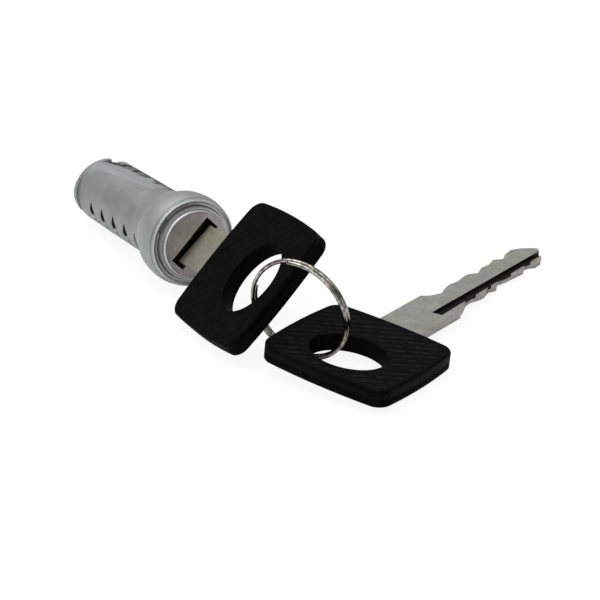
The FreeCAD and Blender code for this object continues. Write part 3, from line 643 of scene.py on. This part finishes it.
# Key heads: black plastic moulded round the tang of each blade, a rounded square with an
# oval eye. A parting line runs round the sides and fine ribs cross the broad faces.
HEAD_WIDTH = 34.0 * MM
HEAD_THICKNESS = 4.36 * MM
HEAD_BOW = 0.9 * MM
HEAD_CORNER = 3.0 * MM
HEAD_EDGE = 0.55 * MM
EYE_HALF_WIDTH = 9.28 * MM
EYE_HALF_LENGTH = 7.55 * MM
EYE_CENTRE = -18.93 * MM
EYE_EDGE = 0.35 * MM
SEAM_HEIGHT = -0.45 * MM
SEAM_DEPTH = 0.16 * MM
RIB_PITCH = 2.2 * MM
RIB_DEPTH = 0.07 * MM
RIB_SHARPNESS = 3
RIB_ANGLE = radians(-53.6)
RIB_BORDER = 0.9 * MM
CORNER_SIGNS = ((1, 1), (-1, 1), (-1, -1), (1, -1))
CORNER_POINTS = 10
SIDE_POINTS = 64
ROUND_STEPS = 4
FACE_RINGS = 44
IGNITION_RIB_TONE = 0.003
SPARE_RIB_TONE = 0.011


def bowed_square():
    """Points round the head: four bowed sides joined by round corners."""
    half_x, half_y = HEAD_LENGTH / 2, HEAD_WIDTH / 2

    def on_corner(signs, turn):
        return (signs[0] * (half_x - HEAD_CORNER) + HEAD_CORNER * cos(turn),
                signs[1] * (half_y - HEAD_CORNER) + HEAD_CORNER * sin(turn))

    points = []
    for quarter, signs in enumerate(CORNER_SIGNS):
        for step in range(CORNER_POINTS + 1):
            points.append(on_corner(signs, pi / 2 * (quarter + step / CORNER_POINTS)))
        start_x, start_y = points[-1]
        end_x, end_y = on_corner(CORNER_SIGNS[(quarter + 1) % 4], pi / 2 * (quarter + 1))
        for step in range(1, SIDE_POINTS):
            share = step / SIDE_POINTS
            points.append((start_x + (end_x - start_x) * share,
                           start_y + (end_y - start_y) * share))
    bowed = []
    for x, y in points:
        across, along = x / half_x, y / half_y
        bowed.append(Vector((x + HEAD_BOW * across * (0.5 - along * along) - half_x,
                             y + HEAD_BOW * along * (0.5 - across * across), 0)))
    return bowed


def inset_loop(points, distance):
    """The same loop moved inwards by a distance."""
    moved = []
    count = len(points)
    for index, point in enumerate(points):
        along = (points[(index + 1) % count] - points[index - 1]).normalized()
        moved.append(point + Vector((-along.y, along.x, 0)) * distance)
    return moved


def eye_loop(side, middle):
    """Oval of the eye, with one point for each point of the head's side."""
    eye = []
    for point in side:
        way = point - middle
        reach = ((way.x / EYE_HALF_LENGTH) ** 2 + (way.y / EYE_HALF_WIDTH) ** 2) ** 0.5
        eye.append(middle + way / reach)
    return eye


def rib_at(point, rim, lip):
    """Height of the ribs at a point from 0 to 1, and their share, which is 0 near an edge."""
    from_edge = min((point - rim).length, (point - lip).length)
    share = min(1.0, max(0.0, (from_edge - 0.5 * RIB_BORDER) / (0.5 * RIB_BORDER)))
    across = point.y * cos(RIB_ANGLE) - point.x * sin(RIB_ANGLE)
    return (0.5 + 0.5 * cos(2 * pi * across / RIB_PITCH)) ** RIB_SHARPNESS, share


def head_rings():
    """Rings of points over the head's side, faces and eye, and the rib crest at each point."""
    top = HEAD_THICKNESS / 2
    side = bowed_square()
    middle = Vector((EYE_CENTRE, 0, 0))
    eye = eye_loop(side, middle)
    outer = inset_loop(side, HEAD_EDGE)
    inner = [middle + (point - middle) * (1 + EYE_EDGE / EYE_HALF_LENGTH) for point in eye]
    quarter = [pi / 2 * step / ROUND_STEPS for step in range(ROUND_STEPS + 1)]
    rings = []
    crests = []

    def level(points, height):
        rings.append([Vector((point.x, point.y, height)) for point in points])
        crests.extend([0.0] * len(points))

    def eye_level(spread, height):
        grow = 1 + spread / EYE_HALF_LENGTH
        level([middle + (point - middle) * grow for point in eye], height)

    def broad_face(start, end, way):
        for step in range(1, FACE_RINGS):
            ring = []
            for first, last, rim, lip in zip(start, end, outer, inner):
                point = first.lerp(last, step / FACE_RINGS)
                ridge, share = rib_at(point, rim, lip)
                crests.append(ridge * share)
                dent = RIB_DEPTH * share * (1 - ridge)
                ring.append(Vector((point.x, point.y, way * (top - dent))))
            rings.append(ring)

    for turn in quarter:
        level(inset_loop(side, HEAD_EDGE * (1 - sin(turn))), -top + HEAD_EDGE * (1 - cos(turn)))
    for rise, depth in ((-1, 0), (-0.5, SEAM_DEPTH), (0.5, SEAM_DEPTH), (1, 0)):
        level(inset_loop(side, depth), SEAM_HEIGHT + rise * SEAM_DEPTH)
    for turn in quarter:
        level(inset_loop(side, HEAD_EDGE * (1 - cos(turn))), top - HEAD_EDGE * (1 - sin(turn)))
    broad_face(outer, inner, 1)
    for turn in quarter:
        eye_level(EYE_EDGE * (1 - sin(turn)), top - EYE_EDGE * (1 - cos(turn)))
    for turn in quarter:
        eye_level(EYE_EDGE * (1 - cos(turn)), -top + EYE_EDGE * (1 - sin(turn)))
    broad_face(inner, outer, -1)
    return rings, crests


def head_mesh(name):
    """Closed mesh of the head, with its rib crests as an attribute."""
    rings, crests = head_rings()
    bm = bmesh.new()
    loops = [[bm.verts.new(point) for point in ring] for ring in rings]
    count = len(rings[0])
    for ring, following in zip(loops, loops[1:] + loops[:1]):
        for index in range(count):
            ahead = (index + 1) % count
            bm.faces.new((ring[index], ring[ahead], following[ahead], following[index]))
    bmesh.ops.recalc_face_normals(bm, faces=bm.faces)
    mesh = bpy.data.meshes.new(name)
    bm.to_mesh(mesh)
    bm.free()
    mesh.attributes.new("rib_crest", "FLOAT", "POINT").data.foreach_set("value", crests)
    mesh.shade_smooth()
    return mesh


def put_in_place(mesh, turn, node):
    """Turn a mesh and move it so that its box is centred on that of a CAD node."""
    mesh.transform(turn.to_4x4())
    low, high = [Vector([end(vertex.co[axis] for vertex in mesh.vertices) for axis in range(3)])
                 for end in (min, max)]
    mesh.transform(Matrix.Translation(middle_of(node) - (low + high) / 2))


def plastic_finish(name, crest_glint):
    """Black moulded plastic with a faint bloom, with painted highlights in short dashes on its rib
    crests.
    """
    material, shader = new_finish(name, Roughness=0.5, Specular_IOR_Level=0.02)
    place = object_place(material)
    bloom = ramp(material, cloud(material, place, scale=500.0, detail=6.0, roughness=0.7),
                 (0.0012, 0.0012, 0.0012), (0.0035, 0.0034, 0.0031), 0.35, 0.75)
    crest = (add_node(material, "ShaderNodeAttribute", attribute_name="rib_crest"), "Fac")
    dashes = cloud(material, place, scale=700.0, detail=3.0)
    # Painted highlights in short dashes on the rib crests.
    share = all_of(material, crest, above(material, dashes, 0.5, soft=0.08),
                   above(material, crest, 0.5, soft=0.3))
    tone = tinted(material, bloom, (share, (crest_glint, crest_glint, 0.93 * crest_glint)))
    join(material, tone, shader, "Base Color")
    bump(material, shader, cloud(material, place, scale=3000.0, detail=3.0), strength=0.3,
         distance=0.05 * MM)
    return material


for node, body, turn, crest_glint in (("ignition_key_head", "key", key_turn, IGNITION_RIB_TONE),
                                 ("spare_key_head", "spare", spare_turn, SPARE_RIB_TONE)):
    mesh = head_mesh(node + "_moulded")
    put_in_place(mesh, turn, node)
    mesh.materials.append(plastic_finish(node + "_plastic", crest_glint))
    head = new_object(node + "_moulded", mesh)
    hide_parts(node)
    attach(head, body)


# Split ring: one hardened steel wire wound twice and nickel plated. The two turns lie side
# by side, and where they change places the wire crosses over in a short joggle.
ring_finish, ring_shader = new_finish("ring_nickel", Metallic=1.0, Roughness=0.16)
ring_tone = ramp(ring_finish, cloud(ring_finish, object_place(ring_finish), scale=900.0),
                 (0.13, 0.12, 0.105), (0.40, 0.385, 0.35), 0.38, 0.62)
join(ring_finish, ring_tone, ring_shader, "Base Color")
ring_mesh = merged_copy("split_ring", "split_ring_wire", flatten=False)
ring_mesh.set_sharp_from_angle(angle=radians(50))
ring_mesh.materials.append(ring_finish)
split_ring = new_object("split_ring_wire", ring_mesh)
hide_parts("split_ring")
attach(split_ring, "ring")


# Bench: a white sheet that runs on behind the set, lit evenly, so that the picture's ground
# is white and only a faint shadow is left under the pieces.
REACH = 3.0
SHEET_GLOW = 0.9
bench_mesh = bpy.data.meshes.new("bench")
bench_mesh.from_pydata([(x * REACH, y * REACH, 0) for x, y in ((-1, -1), (1, -1), (1, 1), (-1, 1))],
                       [], [(0, 1, 2, 3)])
bench = new_object("bench", bench_mesh)
paper = bpy.data.materials.new("white_sheet")
paper.use_nodes = True
paper.node_tree.nodes.remove(paper.node_tree.nodes["Principled BSDF"])
matte = add_node(paper, "ShaderNodeBsdfDiffuse", Color=(0.9, 0.9, 0.9, 1.0))
glow = add_node(paper, "ShaderNodeEmission", Color=(1.0, 1.0, 1.0, 1.0), Strength=1.0)
sight = add_node(paper, "ShaderNodeLightPath")
sheet_mix = add_node(paper, "ShaderNodeMixShader")
join(paper, maths(paper, "MULTIPLY", (sight, "Is Camera Ray"), SHEET_GLOW), sheet_mix, "Fac")
join(paper, (matte, "BSDF"), sheet_mix, 1)
join(paper, (glow, "Emission"), sheet_mix, 2)
join(paper, (sheet_mix, "Shader"), paper.node_tree.nodes["Material Output"], "Surface")
bench_mesh.materials.append(paper)


# Studio: a pale sky that is brighter above, a large lamp overhead and a smaller one beside
# the camera.
world = bpy.data.worlds.new("studio")
bpy.context.scene.world = world
world.use_nodes = True
sky = world.node_tree.nodes["Background"]
sky.inputs["Strength"].default_value = 1.0
sky_split = add_node(world, "ShaderNodeSeparateXYZ")
join(world, (add_node(world, "ShaderNodeTexCoord"), "Generated"), sky_split, "Vector")
sky_tone = ramp(world, (sky_split, "Z"), (0.34, 0.34, 0.34), (0.86, 0.86, 0.86), 0.15, 0.85)
join(world, sky_tone, sky, "Color")


def soft_box(name, place, aim, width, power):
    """Large square lamp turned to a point."""
    lamp = bpy.data.lights.new(name, "AREA")
    lamp.shape = "SQUARE"
    lamp.size = width
    lamp.energy = power
    holder = new_object(name, lamp)
    holder.location = place
    holder.rotation_euler = (Vector(aim) - Vector(place)).to_track_quat("-Z", "Y").to_euler()


soft_box("overhead", place=(-0.15, -0.15, 0.55), aim=(0.0, 0.0, 0.0), width=0.5, power=2.4)
soft_box("window", place=(0.35, -0.45, 0.3), aim=(0.0, 0.0, 0.02), width=0.35, power=1.0)


# Camera: it stands where the picture was taken from, as a fit to the photograph gave it, and
# aims at a point on the bench beside the plug's face.
AZIMUTH = radians(60.0)
ELEVATION = radians(24.938)
DISTANCE = 469.352 * MM
AIM_FROM_FACE = Vector((18.386 * MM, 18.786 * MM, 0.0))
camera_data = bpy.data.cameras.new("camera")
camera_data.sensor_width = 36.0
camera_data.lens = 115.93
camera = new_object("camera", camera_data)
aim = Vector((lock_face.x, lock_face.y, 0.0)) + AIM_FROM_FACE
back = Vector((sin(AZIMUTH) * cos(ELEVATION), -cos(AZIMUTH) * cos(ELEVATION), sin(ELEVATION)))
camera.location = aim + back * DISTANCE
camera.rotation_euler = (-back).to_track_quat("-Z", "Y").to_euler()
bpy.context.scene.camera = camera
bpy.context.scene.view_settings.view_transform = "Standard"
